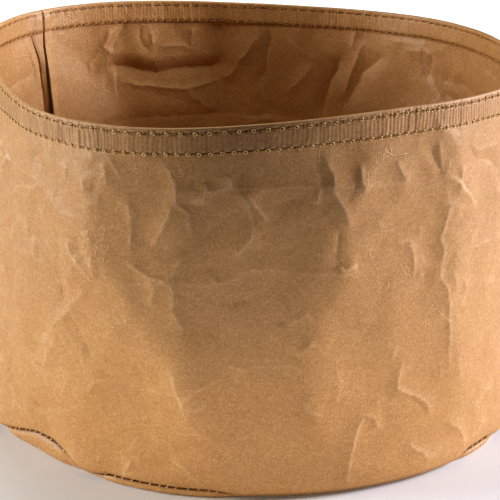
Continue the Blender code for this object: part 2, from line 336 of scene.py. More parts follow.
def add_crease(rise, right, left, worn, points, step=3.5, size=0.35, pinch=1.4, edge=0.13):
    """Lays a fold along a line: a ridge, or a valley if rise is below 0, that fades at its ends.

    It slopes off over a width at each side. A higher pinch makes its slopes hollow, and the edge is a fine
    sharp line along its top.
    """
    first, path = ragged(points, step, size)
    right *= pinch ** 0.3      # a hollow slope starts further out, to look as wide
    left *= pinch ** 0.3
    reach = max(right, left)
    across = wrapped(angle_axis - first) * RADIUS
    lowest = path.min(axis=0) - reach
    highest = path.max(axis=0) + reach
    columns = np.nonzero((across > lowest[0]) & (across < highest[0]))[0]
    rows = np.nonzero((height_axis > lowest[1]) & (height_axis < highest[1]))[0]
    x = across[columns][:, None]
    z = height_axis[rows][None, :]
    lengths = np.linalg.norm(np.diff(path, axis=0), axis=1)
    total = lengths.sum()
    nearest = np.full((len(columns), len(rows)), 1e9)
    side = np.zeros_like(nearest)
    along = np.zeros_like(nearest)
    travelled = 0.0
    for start, end, length in zip(path, path[1:], lengths):
        way = (end - start) / max(length, 1e-6)
        step_along = np.clip((x - start[0]) * way[0] + (z - start[1]) * way[1], 0, length)
        gap_x = x - start[0] - way[0] * step_along
        gap_z = z - start[1] - way[1] * step_along
        distance = np.hypot(gap_x, gap_z)
        closer = distance < nearest
        nearest = np.where(closer, distance, nearest)
        side = np.where(closer, way[0] * gap_z - way[1] * gap_x, side)
        along = np.where(closer, (travelled + step_along) / total, along)
        travelled += length
    width = np.where(side > 0, left, right)
    shape = rise * np.clip(1 - nearest / width, 0, 1) ** pinch
    shape += math.copysign(edge, rise) * np.exp(-nearest / EDGE_WIDTH)
    fade = ease(np.clip(np.minimum(along, 1 - along) / END_SHARE, 0, 1))
    cells = np.ix_(columns, rows)
    relief[cells] += shape * fade
    if worn:
        wear[cells] = np.maximum(wear[cells], worn * fade * bell(nearest, WORN_WIDTH))


def scatter_creases(count, arc, heights, sizes, rises):
    """Random short creases inside an arc of the wall and a band of heights."""
    for _ in range(count):
        angle = rng.uniform(*arc)
        height = rng.uniform(*heights)
        heading = rng.uniform(0, math.tau)
        length = rng.uniform(*sizes)
        points = []
        while len(points) < 4:
            points.append((angle, height))
            heading += rng.normal(0, 0.5)
            angle += math.degrees(math.cos(heading) * length / 3 / RADIUS)
            height += math.sin(heading) * length / 3
        rise = rng.uniform(*rises) * rng.choice((-1, 1, 1))
        worn = rng.uniform(0.2, 0.7) if rise > 0 else 0
        add_crease(rise, rng.uniform(2, 6), rng.uniform(2, 6), worn, points, edge=0.1)


def scatter_stars(count, arc, heights):
    """Random knots where several creases meet."""
    for _ in range(count):
        angle = rng.uniform(*arc)
        height = rng.uniform(*heights)
        arms = rng.integers(3, 6)
        turn = rng.uniform(0, math.tau)
        for arm in range(arms):
            heading = turn + math.tau * arm / arms + rng.normal(0, 0.3)
            length = rng.uniform(7, 22)
            across, up = math.degrees(math.cos(heading) / RADIUS), math.sin(heading)
            near = (angle - across * 2, height - up * 2)
            far = (angle + across * length, height + up * length)
            rise = rng.uniform(0.2, 0.5) * (1 if arm % 2 else -1)
            add_crease(rise, rng.uniform(3, 6), rng.uniform(3, 6), 0.7 if rise > 0 else 0, (near, far))


def crumple():
    """Fills in the relief of the paper, from the broad folds to the fine wrinkles."""
    for fold in BROAD_FOLDS:
        add_crease(*fold, step=8, size=1.3, pinch=1.15, edge=0)
    soften(2.2)
    for fold in LONG_FOLDS + BACK_FOLDS:
        add_crease(*fold, step=6, size=0.5, edge=0.08)
    for fold in INSIDE_CREASES:
        add_crease(*fold, step=2.6, size=0.3, pinch=1.6)
    for fold in FRONT_CREASES:
        rise, right, left, worn, points = fold
        add_crease(
            FRONT_RISE * rise, FRONT_SPREAD * right, FRONT_SPREAD * left, min(1, FRONT_WEAR * worn), points,
            step=2.6, size=0.22, pinch=1.7, edge=0.17,
        )
    calm = relief.copy()
    for arc in CREASED_ARCS:
        scatter_stars(9, arc, (15, 112))
        scatter_creases(70, arc, (8, 116), (8, 30), (0.15, 0.45))
    scatter_stars(4, (55, 125), (15, 80))
    scatter_creases(25, (50, 130), (8, 85), (8, 26), (0.15, 0.4))
    scatter_creases(60, (-150, -36), (5, 114), (4, 14), (0.08, 0.25))
    scatter_creases(60, (-150, -112), (60, 114), (3, 10), (0.08, 0.25))
    relief[:] = np.clip(relief, calm - MOST_BELOW, calm + MOST_ABOVE)
    relief[:] += smooth_noise(45, 60) * 0.35 + smooth_noise(14, 20) * 0.10 + smooth_noise(5, 6) * 0.018
    relief[:] -= 0.34 * np.abs(smooth_noise(24, 28)) + 0.13 * np.abs(smooth_noise(10, 12))
    relief[:] += 0.16 * np.abs(smooth_noise(17, 21))
    relief[:] *= np.clip((WALL_HEIGHT - 1 - height_axis) / 10, 0.5, 1)
    relief[:] *= ease(np.clip((height_axis - 1.0) / 10, 0.0, 1))


foot_outline = smooth_round(FOOT_OUTLINE, 3.0)
seam_shows = smooth_round(SEAM_SHOWS, 1.2)
seam_lift = smooth_round(SEAM_LIFT, 1.2)


def lay_foot():
    """Adds the foot's outline and the bulge with which the wall hangs over its seam."""
    up = height_axis[None, :]
    outline = foot_outline[:, None] * bell(up, 30)
    bulge = (1 - seam_shows)[:, None] * 0.9 * bell(up - 5, 6)
    relief[:] += outline + bulge


def columns_at(angle):
    """The grid columns on both sides of an angle, and the share of the second."""
    column = (angle + math.pi) / math.tau * COLUMNS
    left = np.floor(column).astype(int)
    return left % COLUMNS, (left + 1) % COLUMNS, column - left


def sample(field, angle, height):
    """A grid field's values at these angles and heights."""
    near, far, part = columns_at(angle)
    row = np.clip(height / ROW_STEP, 0, GRID_ROWS - 1.001)
    below = np.floor(row).astype(int)
    lift = row - below
    low = field[near, below] * (1 - part) + field[far, below] * part
    high = field[near, below + 1] * (1 - part) + field[far, below + 1] * part
    return low * (1 - lift) + high * lift


def sample_round(values, angle):
    """Values given per grid column, at these angles."""
    near, far, part = columns_at(angle)
    return values[near] * (1 - part) + values[far] * part


def extra_waves(waves, angle):
    """Sum of (waves round the rim, size, angle of the crest) at these angles."""
    return sum(size * np.cos(count * (angle - math.radians(crest))) for count, size, crest in waves)


def polar(radius, angle, height):
    """An array of (x, y, z) points."""
    return np.stack([radius * np.cos(angle), radius * np.sin(angle), height], axis=-1)


def wall_point(angle, height, inward=0.0, proud=0.0):
    """Points on the wall's outer face, or inward of it."""
    share = height / WALL_HEIGHT
    terms = wave_terms(angle)
    outward = terms @ MOUTH_OUT + extra_waves(EXTRA_OUT, angle)
    upward = terms @ MOUTH_UP + extra_waves(EXTRA_UP, angle)
    radius = RADIUS + outward * share + sample(relief, angle, height) + proud - inward
    return polar(radius, angle, height + upward * share)


def add_object(name, data):
    made = bpy.data.objects.new(name, data)
    scene.collection.objects.link(made)
    return made


def new_piece(name, points, faces):
    """A smooth mesh object from points in mm."""
    mesh = bpy.data.meshes.new(name)
    mesh.from_pydata((np.asarray(points) * MM).tolist(), [], faces)
    mesh.validate()
    mesh.shade_smooth()
    return add_object(name, mesh)


def shell(name, rings, caps=False):
    """A closed object from rings of points. The last ring joins the first, or the ends get caps."""
    ring_count, around = rings.shape[:2]
    ring = np.arange(ring_count if not caps else ring_count - 1)[:, None]
    point = np.arange(around)[None, :]
    after = (ring + 1) % ring_count
    beside = (point + 1) % around
    near, far = ring * around, after * around
    corners = np.stack([near + point, near + beside, far + beside, far + point], axis=-1)
    polygons = corners.reshape(-1, 4).tolist()
    if caps:
        polygons.append(list(range(around))[::-1])
        polygons.append([(ring_count - 1) * around + index for index in range(around)])
    return new_piece(name, rings.reshape(-1, 3), polygons)


def add_values(piece, name, values):
    """A float for every vertex, for the materials to read."""
    layer = piece.data.attributes.new(name, "FLOAT", "POINT")
    layer.data.foreach_set("value", np.asarray(values, dtype=np.float32).ravel())


def thin_out(piece, triangles):
    """Drops the points that flat stretches don't need, so that the piece has about so many triangles."""
    thinner = piece.modifiers.new("thin_out", "DECIMATE")
    thinner.ratio = triangles / (2 * len(piece.data.polygons))
    graph = bpy.context.evaluated_depsgraph_get()
    mesh = bpy.data.meshes.new_from_object(piece.evaluated_get(graph))
    piece.modifiers.clear()
    piece.data = mesh
    unfold(mesh)


def unfold(mesh):
    """Smooths the few points where thinning out has turned a triangle over."""
    passes = 6
    folded = -0.2      # cosine between neighbours' normals, where one of them is turned over
    shape = bmesh.new()
    shape.from_mesh(mesh)
    for _ in range(passes):
        shape.normal_update()
        turned = set()
        for line in shape.edges:
            first, second = line.link_faces
            if first.normal.dot(second.normal) < folded:
                turned.update(line.verts)
        axes = {"use_axis_x": True, "use_axis_y": True, "use_axis_z": True}
        bmesh.ops.smooth_vert(shape, verts=list(turned), factor=0.5, **axes)
    shape.to_mesh(mesh)
    shape.free()
    mesh.shade_smooth()


def declare(piece, material, slot, *nodes):
    """Gives a piece its material and its body, and hides the CAD nodes it stands for; its slot is not used.
    """
    piece.data.materials.append(material)
    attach(piece, "root")
    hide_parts(*nodes)


# ---- Paper pieces

def paper_piece(name, rows, paper, node, caps=False, triangles=0):
    """A piece of paper from rows of (points, wear and painted highlights, painted shade), thinned out if a
    number of triangles is given.
    """
    points, worn, painted_shade = (np.array(part) for part in zip(*rows))
    piece = shell(name, points, caps)
    add_values(piece, "wear", worn)
    add_values(piece, "shade", painted_shade)
    if triangles:
        thin_out(piece, triangles)
    declare(piece, paper, "kraft_paper", node)


def seam_height(angle):
    """Height of the base seam, under the wall's turned-in foot."""
    return SEAM_LOW + (BASE_ROLL - PAPER) * sample_round(seam_shows, angle) + sample_round(seam_lift, angle)


def seam_line(depth):
    """The side seam's angle at a depth below the rim."""
    return np.radians(SEAM_ANGLE + SEAM_DRIFT * (1 - np.exp(-depth / 18)))


def from_seam(angle, depth):
    """Distance round the wall from the side seam, in mm."""
    return wrapped(angle - seam_line(depth)) * RADIUS


def seam_groove(angle, depth):
    """How the side seam pulls the wall's outer face in, and rounds its two edges."""
    off = from_seam(angle, depth)
    return -0.5 * bell(off, 0.45) - 0.5 * bell(off, 3.5)


def seam_gap(depth):
    """Half the width of the valley between the side seam's two pressed-open ends."""
    opening = 1.1 * (1 - bell(np.maximum(depth - 8, 0), 32, 1.6))
    return 0.12 + opening + 0.05 * np.sin(depth / 3.3)


def wall_body(paper):
    """The wall's sheet: from inside the hem down to the foot, in over the base's seam, and back up inside."""
    angle = angles_round(WALL_COLUMNS)
    blank = np.zeros(WALL_COLUMNS)
    turn = FOOT_TURN - FOOT_TIGHTER * sample_round(seam_shows, angle)
    foot = seam_height(angle) + turn
    top = WALL_HEIGHT - JOIN_DEPTH
    start = wall_point(angle, foot)
    radial = np.stack([np.cos(angle), np.sin(angle), blank], axis=-1)
    upright = np.array((0, 0, 1.0))
    turn_steps = 6

    def level_row(level, inward):
        """A row of the upright part, outside if inward is 0 and inside if it isn't."""
        height = top + (foot - top) * (level / WALL_ROWS)
        depth = WALL_HEIGHT - height
        proud = -TOP_LEAN if level == 0 else 0.0
        shade = blank
        if inward:
            # Painted shade at the bottom of the side seam's valley
            shade = 0.95 * bell(from_seam(angle, depth), seam_gap(depth) + 0.35, 4)
        else:
            proud = proud + seam_groove(angle, depth)
        return wall_point(angle, height, inward, proud), sample(wear, angle, height), shade

    def turned_points(step, inset):
        """Points of the foot, so many steps of the way round its turn."""
        turned = math.radians(90 * step / turn_steps)
        back = turn - (turn - inset) * math.cos(turned)
        down = (turn - inset) * math.sin(turned)
        return start - radial * back[:, None] - upright * down[:, None]

    rows = [level_row(level, 0.0) for level in range(WALL_ROWS + 1)]
    for step in range(1, turn_steps + 1):
        # Painted shade, deepening round the foot's turn under the wall
        rows.append((turned_points(step, 0.0), blank, blank + 0.95 * (step / turn_steps) ** 2))
    edge = rows[-1][0] - radial * ALLOWANCE
    rows += [(edge, blank, blank), (edge + upright * PAPER, blank, blank)]
    rows += [(turned_points(step, PAPER), blank, blank) for step in range(turn_steps, 0, -1)]
    rows += [level_row(level, PAPER) for level in range(WALL_ROWS, -1, -1)]
    paper_piece("wall_sheet", rows[::-1], paper, "wall_panel", triangles=WALL_TRIANGLES)


def stitch_count(pitch, radius=RADIUS):
    """How many stitches go round."""
    return round(math.tau * radius / pitch)


def holes_near(angle, pitch, phase):
    """Along a row of stitches: 0 at a needle hole up to 1 midway between two, and the stitches' length."""
    count = stitch_count(pitch)
    place = (angle / math.tau * count + phase) % 1
    return np.minimum(place, 1 - place) * 2, math.tau * RADIUS / count


def row_relief(angle, depth):
    """At a depth below the rim: how the stitches draw the hem in, the painted shade in the needle holes and
    along the rows' grooves, and the rings round the holes that get a painted highlight.
    """
    pull = np.zeros_like(angle)
    painted_shade = np.zeros_like(angle)
    rings = np.zeros_like(angle)
    for _, row, pitch, phase in RIM_ROWS:
        between, spacing = holes_near(angle, pitch, phase)
        off = depth - row
        from_hole = np.hypot(between * spacing / 2, off)
        ring = bell(from_hole - 0.66, 0.24)
        pull += 0.12 * bell(off, 0.5) + 0.30 * bell(from_hole, 0.38) - 0.14 * ring
        # Painted shade: a dark disc in each needle hole and a dark line along the row's groove
        painted_shade = np.maximum(painted_shade, bell(from_hole, 0.34, 4) + 0.35 * bell(off, 0.25))
        # Rings round the holes, for a painted highlight where the thread's loops catch the light
        rings = np.maximum(rings, ring * (off < 0.5))
    return pull, np.clip(painted_shade, 0, 1), rings


rib_noise = smooth_noise(1.4, 12)
rib_drift = smooth_noise(9, 25)
rib_zone = np.clip(0.80 + 0.30 * smooth_noise(30, 30), 0.5, 1)


def ribs(angle, height):
    """Fine upright pleats that the stitching squeezes into the hem."""
    pleats = np.sin(stitch_count(RIB_PITCH) * angle + 2.2 * sample(rib_drift, angle, height))
    return (0.05 * sample(rib_noise, angle, height) + 0.055 * pleats) * sample(rib_zone, angle, height)


def hem_path():
    """Across the hem: (depth below the rim, how far inward, relief: 1 outside, -1 inside, less at the rim).

    Its points lie closest together at the two rows of stitches.
    """
    outside = (np.linspace(8.6, 7.4, 5), np.linspace(7.4, 2.6, 7), np.linspace(2.6, 1.0, 7), (PAPER,))
    inside = ((PAPER,), np.linspace(1.0, 2.6, 6), np.linspace(2.6, 7.4, 6), np.linspace(7.4, 8.7, 5))
    rim_steps = 7
    path = [(depth, 0.0, 1.0) for depth in np.unique(np.concatenate(outside))[::-1]]
    for step in range(1, rim_steps):
        turn = math.pi * step / rim_steps
        path.append((PAPER - PAPER * math.sin(turn), PAPER - PAPER * math.cos(turn), 0.3))
    for depth in np.unique(np.concatenate(inside)):
        pressed = (PAPER - HEM_STEP) * max(0, depth - PRESSED_FROM) / PRESSED_OVER
        path.append((depth, 2 * PAPER - pressed, -1.0))
    behind = PAPER - 0.04
    return path + [(HEM_DEPTH, PAPER + HEM_STEP, 0.0), (HEM_DEPTH, behind, 0.0), (8.7, behind, 0.0)]


def rim_hem(paper):
    """The folded hem: up the outside, over the rim, down the inside to the raw edge, and back behind it."""
    angle = angles_round(HEM_COLUMNS)
    blank = np.zeros(HEM_COLUMNS)
    rows = []
    for depth, inward, detail in hem_path():
        height = WALL_HEIGHT - depth + blank
        off = from_seam(angle, depth)
        pleats = ribs(angle, height)
        pull, painted_shade, rings = row_relief(angle, depth)
        rise = pleats - pull if detail > 0 else pull - 0.55 * pleats
        if inward > PAPER:
            over_seam = 0.75 * bell(off, 4.5, 4) - 0.9 * bell(off, 0.3)
            rise = rise - over_seam * min(1, depth / 3)
            # Painted shade in the side seam's valley on the hem's inside
            painted_shade = np.maximum(painted_shade, 0.9 * bell(off, 0.3, 4))
        else:
            rise = rise - 0.35 * bell(off, 0.4)
        # The hem's outside is darkened all over, and more in the pleats' hollows as painted shade
        if inward == 0:
            painted_shade = np.maximum(painted_shade, np.clip(0.20 - 1.6 * pleats, 0, 0.5))
        lower_edge = -0.05 if depth > 8.5 and detail > 0 else 0.0
        points = wall_point(angle, height, inward, abs(detail) * rise + lower_edge)
        # Crease wear, plus a painted highlight along the rim's top fold and painted highlights in the rings
        # round the needle holes
        worn = sample(wear, angle, height) + 0.35 * bell(depth, 0.45) + 0.75 * rings * (detail > 0)
        rows.append((points, worn, painted_shade if detail else blank))
    paper_piece("rim_hem", rows[::-1], paper, "wall_panel")


def seam_allowance(name, side, paper):
    """One end of the wall's strip, at side 1 or -1 of the seam: it turns in and lies flat on the wall."""
    low = BASE_ROLL + 3.0
    high = WALL_HEIGHT - TUCKED_DEPTH
    part = np.concatenate([np.linspace(0, 0.2, 7), np.linspace(0.27, 1, 10)])
    fold = np.clip(part / 0.16, 0, 1)
    rounded = np.sqrt(np.clip(fold * (2 - fold), 0, 1))
    shape = rounded * (1 - part) ** 1.1
    back = PAPER - 0.15 + 0 * part
    faint_wear = np.full(2 * len(part), 0.1)
    rows = []
    for level in range(FLAP_ROWS + 1):
        height = low + (high - low) * level / FLAP_ROWS
        depth = WALL_HEIGHT - height
        if side > 0:
            wider_above = 3.4 * bell(max(depth - 7.5, 0), 8.5)
            wider_below = 0.9 / (1 + math.exp((50 - depth) / 3))
            width = 2.1 + wider_above + wider_below
        else:
            width = ALLOWANCE - 0.6
        width += 0.3 * math.sin(depth / 11 + side) + 0.12 * math.sin(depth / 3.7)
        start = seam_gap(depth) + 0.1 * math.sin(depth / 6.1 + side)
        along = start + (width - start) * part
        stand = 0.2 + 1.4 * (1 - bell(max(depth - 7, 0), 15, 1.3))
        edge = 1.0 if side < 0 else 1 - 0.95 * bell(depth - 22, 9, 4)
        pucker = 0.16 * np.sin(math.pi * part) * math.sin(depth / 2.9 + side) * bell(depth - 8, 14)
        front = back + 0.15 + PAPER * rounded + stand * shape + pucker
        front -= edge * (PAPER - 0.05) * np.clip((part - 0.6) / 0.4, 0, 1) ** 1.5
        across = np.concatenate([along, along[::-1]]) * side
        inward = np.concatenate([back, front[::-1]])
        points = wall_point(seam_line(depth) + across / RADIUS, height + 0 * across, inward)
        # Painted shade on the fold faces beside the seam's valley
        root = 0.95 * bell(along - start, 0.25 + 0.5 * seam_gap(depth), 4)
        rows.append((points, faint_wear, np.concatenate([root, root[::-1]])))
    paper_piece(name, rows[::side], paper, "wall_panel", caps=True)


TUCKED_BASE = 1.6        # the base's edge is this far in where the wall hangs over it
SHEET_GAP = 0.25         # between the base's allowance and the wall's
ROLL_DEPTH = 1.3         # how far in the base's edge starts to roll up
FLOOR_RADII = (1.5, 8, 16, 24, 32, 40, 48, 56, 64, 72, 80, 86, 91)
ROLL_STEPS = 12
ROLL_SHADE = {9: 0.15, 10: 0.55, 11: 0.85, 12: 0.9}      # painted shade by step round the roll, where it lies under the wall


def base_sheet(paper):
    """The round base: its floor, its rolled edge, and the allowance turned in under the wall's."""
    angle = angles_round(BASE_COLUMNS)
    blank = np.zeros(BASE_COLUMNS)
    edge = RADIUS + sample_round(foot_outline, angle) - TUCKED_BASE * (1 - sample_round(seam_shows, angle))
    seam = seam_height(angle) - SHEET_GAP
    half = seam / 2
    deep = np.minimum(half, ROLL_DEPTH)
    rows = []

    def add_ring(radius, height, shade=0.0):
        rows.append((polar(radius, angle, height + blank), blank, blank + shade))

    def add_roll(step, out, up, shade=0.0):
        turn = -math.pi / 2 + math.pi * step / ROLL_STEPS
        add_ring(edge - deep + out * math.cos(turn), half + up * math.sin(turn), shade)

    def floor_bump(radius):
        swell = 0.25 * np.cos(3 * angle + radius / 14) + 0.2 * np.cos(2 * angle - radius / 9)
        return np.clip((radius - 3) / 40, 0, 1) * np.clip((92 - radius) / 12, 0, 1) * (swell + 0.35)

    for radius in FLOOR_RADII:
        add_ring(radius, 0.02 + floor_bump(radius) * 0.5)
    for step in range(ROLL_STEPS + 1):
        add_roll(step, deep, half, ROLL_SHADE.get(step, 0.0))
    add_ring(edge - deep - ALLOWANCE, seam)
    add_ring(edge - deep - ALLOWANCE, seam - PAPER)
    for step in range(ROLL_STEPS, -1, -1):
        add_roll(step, np.maximum(deep - PAPER, 0.1), np.maximum(half - PAPER, 0.1))
    for radius in reversed(FLOOR_RADII):
        add_ring(radius, PAPER + floor_bump(radius) * 0.5)
    paper_piece("base_sheet", rows, paper, "base_panel")


# ---- Stitches

def tube(path, radius):
    """Rings of points round a path, in mm."""
    path = np.asarray(path)
    way = np.gradient(path, axis=0)
    way /= np.linalg.norm(way, axis=1)[:, None]
    across = np.cross(way, np.array((0.02, 0.03, 1.0)))
    flat = np.linalg.norm(across, axis=1) < 0.2
    across[flat] = np.cross(way[flat], np.array((1.0, 0.3, 0.0)))
    across /= np.linalg.norm(across, axis=1)[:, None]
    other = np.cross(way, across)
    turn = (np.arange(THREAD_SIDES) * math.tau / THREAD_SIDES)[None, :, None]
    ring = across[:, None, :] * np.cos(turn) + other[:, None, :] * np.sin(turn)
    return path[:, None, :] + ring * np.asarray(radius).reshape(-1, 1, 1)


def stitches(name, dashes, loops, thread, *nodes):
    """One object of many short lengths of thread and loops, each its own closed solid; the loops get a
    painted highlight.
    """
    vertices = []
    faces = []
    loop_highlight = []
    for path, loop in [(path, 0.0) for path in dashes] + [(path, 1.0) for path in loops]:
        if loop:
            thickness = np.full(len(path), 0.90 * THREAD)
        else:
            part = np.linspace(0, 1, len(path))
            thickness = np.interp(part, (0, 0.18, 0.82, 1), (0.72, 1, 1, 0.72)) * THREAD
        start = len(vertices)
        vertices += tube(path, thickness).reshape(-1, 3).tolist()
        # marks the loops for the painted highlight
        loop_highlight += [loop] * (len(vertices) - start)
        for ring in range(start, len(vertices) - THREAD_SIDES, THREAD_SIDES):
            for side in range(THREAD_SIDES):
                a = ring + side
                b = ring + (side + 1) % THREAD_SIDES
                faces.append((a, b, b + THREAD_SIDES, a + THREAD_SIDES))
        faces.append(list(range(start, start + THREAD_SIDES))[::-1])
        faces.append(list(range(len(vertices) - THREAD_SIDES, len(vertices))))
    piece = new_piece(name, vertices, faces)
    add_values(piece, "loop_highlight", loop_highlight)
    declare(piece, thread, "sewing_thread", *nodes)


def along_stitch(points):
    """Places along one stitch, short of the holes at both its ends."""
    return np.linspace(0.07, 0.93, points)


def rim_row(depth, pitch, phase, inward):
    """Paths of the stitches of one row of the hem, outside if inward is 0 and inside if it isn't."""
    count = stitch_count(pitch)
    sign = -1 if inward else 1
    part = along_stitch(9)
    arch = np.sin(part * math.pi) ** 0.45
    for stitch in range(count):
        slant = (part - 0.5) * rng.uniform(0.25, 0.6) * sign
        angle = (stitch - phase + part) / count * math.tau - math.pi
        proud = sign * (-0.42 + (0.50 + rng.uniform(-0.05, 0.05)) * arch)
        wander = rng.normal(0, 0.05)
        yield wall_point(wrapped(angle), WALL_HEIGHT - depth + slant + wander, inward, proud)


def rim_loops(depth, pitch, phase):
    """Paths of the small loops of thread that the needle leaves round its holes."""
    count = stitch_count(pitch)
    turn = np.linspace(0, 1.04 * math.tau, 10)
    for hole in range(count):
        across = rng.uniform(0.46, 0.58)
        middle = (hole - phase) / count * math.tau - math.pi + 0.15 / RADIUS
        angle = wrapped(middle + across * np.cos(turn) / RADIUS)
        height = WALL_HEIGHT - depth + rng.normal(0, 0.06) + 0.46 * np.sin(turn)
        yield wall_point(angle, height, proud=0.10 + 0.06 * np.sin(turn + 0.7))


def seam_row(side):
    """Paths of the stitches down one side of the side seam's valley."""
    top = WALL_HEIGHT - TUCKED_DEPTH - 1.0
    foot = BASE_ROLL + 5
    part = along_stitch(7)
    arch = np.sin(part * math.pi) ** 0.45 * 0.2
    for stitch in range(int((top - foot) / LOWER_PITCH)):
        height = top - (stitch + part) * LOWER_PITCH
        angle = seam_line(WALL_HEIGHT - height) + side * (0.12 + 0.08 * (part - 0.5)) / RADIUS
        yield wall_point(angle, height, PAPER + arch)


def base_row(above):
    """Paths of the stitches round the base seam's allowance, on top of it or under it."""
    count = stitch_count(LOWER_PITCH, RADIUS - 3)
    part = along_stitch(6)
    arch = np.sin(part * math.pi) ** 0.5 * 0.2
    for stitch in range(count):
        angle = wrapped((stitch + part) / count * math.tau)
        seam = seam_height(angle)
        height = seam + PAPER + arch if above else np.maximum(seam - PAPER - SHEET_GAP - arch, THREAD + 0.04)
        radius = RADIUS + sample_round(foot_outline, angle) - 3.6
        yield polar(radius, angle, height)


def seam_ladder():
    """Paths of the threads that cross the base seam's gap, where the base's edge shows."""
    count = stitch_count(LOWER_PITCH, RADIUS - 3)
    part = np.linspace(-1, 1, 5)
    for stitch in range(count):
        angle = wrapped((stitch + rng.uniform(-0.15, 0.15) + 0.12 * part) / count * math.tau)
        if sample_round(seam_shows, angle).min() > 0.6:
            height = seam_height(angle) - 0.05 + 0.55 * part
            radius = RADIUS + sample_round(foot_outline, angle) - rng.uniform(0.45, 0.8)
            yield polar(radius, angle, height)


# ---- Materials

PAPER_TONES = ((0.37, (0.35, 0.180, 0.062)), (0.50, (0.49, 0.276, 0.113)), (0.63, (0.66, 0.400, 0.190)))
WORN_PAPER = (0.80, 0.57, 0.37)
# the colour of the painted shade
SHADED_PAPER = (0.085, 0.035, 0.010)
THREAD_TONES = ((0.36, (0.22, 0.105, 0.030)), (0.5, (0.36, 0.195, 0.065)), (0.64, (0.62, 0.38, 0.16)))
# paler gold of the painted highlight on the thread's loops
LOOP_HIGHLIGHT_GOLD = (0.82, 0.57, 0.29)


def node(tree, kind, **values):
    """A node with these sockets and settings."""
    made = tree.nodes.new(kind)
    for key, value in values.items():
        if key in made.inputs:
            made.inputs[key].default_value = value
        else:
            setattr(made, key, value)
    return made


def noise(tree, vector, scale, detail, rough, output="Fac"):
    made = node(tree, "ShaderNodeTexNoise", Scale=scale, Detail=detail, Roughness=rough)
    tree.links.new(vector, made.inputs["Vector"])
    return made.outputs[output]


def stretched(tree, vector, scale):
    made = node(tree, "ShaderNodeMapping", Scale=scale)
    tree.links.new(vector, made.inputs["Vector"])
    return made.outputs["Vector"]


def ramp(tree, value, stops):
    """A colour for the value, from (place, colour) stops."""
    made = tree.nodes.new("ShaderNodeValToRGB")
    elements = made.color_ramp.elements
    while len(elements) < len(stops):
        elements.new(0.5)
    for element, (place, colour) in zip(elements, stops):
        element.position = place
        element.color = (*colour, 1.0)
    tree.links.new(value, made.inputs["Fac"])
    return made.outputs["Color"]


def maths(tree, operation, first, second, clamp=False):
    """One sum of two values, each a number or another node's output."""
    made = node(tree, "ShaderNodeMath", operation=operation, use_clamp=clamp)
    for socket, value in zip(made.inputs, (first, second)):
        if isinstance(value, (int, float)):
            socket.default_value = value
        else:
            tree.links.new(value, socket)
    return made.outputs["Value"]


def weighted(tree, *terms):
    """The sum of (value, weight) terms."""
    total = None
    for value, weight in terms:
        term = maths(tree, "MULTIPLY", value, weight)
        total = maths(tree, "ADD", total, term) if total else term
    return total


def mixed(tree, factor, first, second):
    """The first colour, turned into the constant second one by the factor."""
    made = node(tree, "ShaderNodeMix", data_type="RGBA")
    tree.links.new(factor, made.inputs["Factor"])
    colours = [socket for socket in made.inputs if socket.type == "RGBA"]
    tree.links.new(first, colours[0])
    colours[1].default_value = (*second, 1.0)
    return next(socket for socket in made.outputs if socket.type == "RGBA")


def new_material(name, specular):
    """A material's tree, its shader, and coordinates in metres."""
    material = bpy.data.materials.new(name)
    material.use_nodes = True
    tree = material.node_tree
    shader = tree.nodes["Principled BSDF"]
    shader.inputs["Specular IOR Level"].default_value = specular
    return material, tree, shader, tree.nodes.new("ShaderNodeTexCoord").outputs["Object"]


def attribute(tree, name):
    """A value that the mesh carries."""
    return node(tree, "ShaderNodeAttribute", attribute_name=name).outputs["Fac"]


def add_bump(tree, shader, height, strength, distance):
    bump = node(tree, "ShaderNodeBump", Strength=strength, Distance=distance)
    tree.links.new(height, bump.inputs["Height"])
    tree.links.new(bump.outputs["Normal"], shader.inputs["Normal"])


def crinkles(tree, place, scale, width):
    """A net of thin broken lines, as small wrinkles that were pressed flat again."""
    shifted = node(tree, "ShaderNodeVectorMath", operation="MULTIPLY_ADD")
    tree.links.new(noise(tree, place, scale * 1.3, 3, 0.6, "Color"), shifted.inputs[0])
    shifted.inputs[1].default_value = (0.9 / scale,) * 3
    tree.links.new(place, shifted.inputs[2])
    cells = node(tree, "ShaderNodeTexVoronoi", feature="DISTANCE_TO_EDGE", Scale=scale)
    tree.links.new(shifted.outputs["Vector"], cells.inputs["Vector"])
    from_line = maths(tree, "DIVIDE", cells.outputs["Distance"], width * scale)
    line = maths(tree, "SUBTRACT", 1.0, from_line, clamp=True)
    above_middle = maths(tree, "SUBTRACT", noise(tree, place, scale * 0.8, 2, 0.6), 0.50)
    patchy = maths(tree, "MULTIPLY", above_middle, 7.0, clamp=True)
    return maths(tree, "MULTIPLY", line, patchy)


